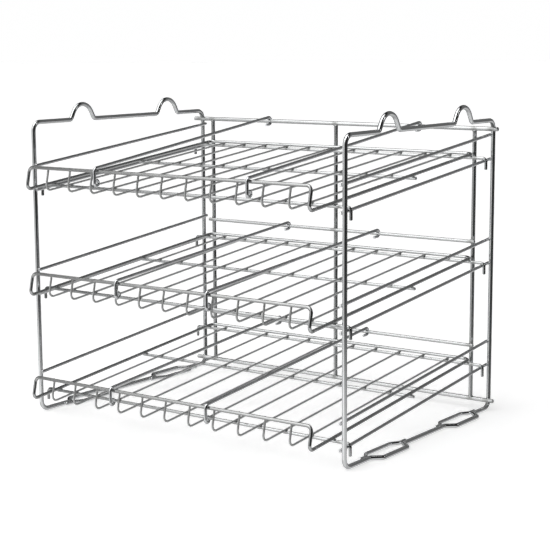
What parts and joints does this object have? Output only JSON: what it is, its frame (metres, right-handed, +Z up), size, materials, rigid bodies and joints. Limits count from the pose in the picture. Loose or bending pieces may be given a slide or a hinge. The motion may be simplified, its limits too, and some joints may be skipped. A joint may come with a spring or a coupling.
{
  "type": "wire can rack",
  "caption": "Freestanding wire rack that feeds cans forward: sloping shelves with front lips, loose lane dividers, and side frames with loops and eyes for stacking.",
  "frame": {"origin": "on the floor under the middle of the whole rack, X from side to side and Y from the front curls to the rear uprights", "axes": "+X to the right as seen from the front, +Y from the lips to the back panel, +Z up"},
  "size_m": [0.4532, 0.347, 0.3602],
  "materials": {
    "frame_chrome": "bright chrome plating on heavy drawn wire",
    "rail_chrome": "bright chrome plating on straight drawn rails",
    "shelf_chrome": "bright chrome plating on light drawn wire, spot welded",
    "divider_chrome": "bright chrome plating on bent divider rods"
  },
  "bodies": {
    "rack": {"left_frame_loop": "frame_chrome", "left_frame_eyes": "frame_chrome", "left_top_guard_rail": "rail_chrome", "left_middle_guard_rail": "rail_chrome", "left_bottom_guard_rail": "rail_chrome", "left_top_shelf_rail": "rail_chrome", "left_middle_shelf_rail": "rail_chrome", "left_bottom_shelf_rail": "rail_chrome", "right_frame_loop": "frame_chrome", "right_frame_eyes": "frame_chrome", "right_top_guard_rail": "rail_chrome", "right_middle_guard_rail": "rail_chrome", "right_bottom_guard_rail": "rail_chrome", "right_top_shelf_rail": "rail_chrome", "right_middle_shelf_rail": "rail_chrome", "right_bottom_shelf_rail": "rail_chrome", "top_shelf_rim": "shelf_chrome", "top_shelf_slats": "shelf_chrome", "top_shelf_front_cross": "shelf_chrome", "top_shelf_middle_cross": "shelf_chrome", "top_shelf_rear_cross": "shelf_chrome", "middle_shelf_rim": "shelf_chrome", "middle_shelf_slats": "shelf_chrome", "middle_shelf_front_cross": "shelf_chrome", "middle_shelf_middle_cross": "shelf_chrome", "middle_shelf_rear_cross": "shelf_chrome", "bottom_shelf_rim": "shelf_chrome", "bottom_shelf_slats": "shelf_chrome", "bottom_shelf_front_cross": "shelf_chrome", "bottom_shelf_middle_cross": "shelf_chrome", "bottom_shelf_rear_cross": "shelf_chrome", "back_top_rail": "frame_chrome", "back_bottom_rail": "frame_chrome", "back_left_upright": "frame_chrome", "back_middle_upright": "frame_chrome", "back_right_upright": "frame_chrome", "back_middle_divider_rail": "frame_chrome", "back_bottom_divider_rail": "frame_chrome"},
    "top_left_divider": {"top_left_divider": "divider_chrome"},
    "top_right_divider": {"top_right_divider": "divider_chrome"},
    "middle_left_divider": {"middle_left_divider": "divider_chrome"},
    "middle_right_divider": {"middle_right_divider": "divider_chrome"},
    "bottom_left_divider": {"bottom_left_divider": "divider_chrome"},
    "bottom_right_divider": {"bottom_right_divider": "divider_chrome"}
  },
  "joints": [
    {"name": "top_left_divider_slide", "type": "slide", "parent": "rack", "child": "top_left_divider", "axis": [1, 0, 0], "range_m": [-0.006, 0.02]},
    {"name": "top_right_divider_slide", "type": "slide", "parent": "rack", "child": "top_right_divider", "axis": [1, 0, 0], "range_m": [-0.0138, 0.0122]},
    {"name": "middle_left_divider_slide", "type": "slide", "parent": "rack", "child": "middle_left_divider", "axis": [1, 0, 0], "range_m": [0, 0.026]},
    {"name": "middle_right_divider_slide", "type": "slide", "parent": "rack", "child": "middle_right_divider", "axis": [1, 0, 0], "range_m": [-0.026, 0]},
    {"name": "bottom_left_divider_slide", "type": "slide", "parent": "rack", "child": "bottom_left_divider", "axis": [1, 0, 0], "range_m": [-0.022, 0.004]},
    {"name": "bottom_right_divider_slide", "type": "slide", "parent": "rack", "child": "bottom_right_divider", "axis": [1, 0, 0], "range_m": [-0.0232, 0.0028]}
  ]
}
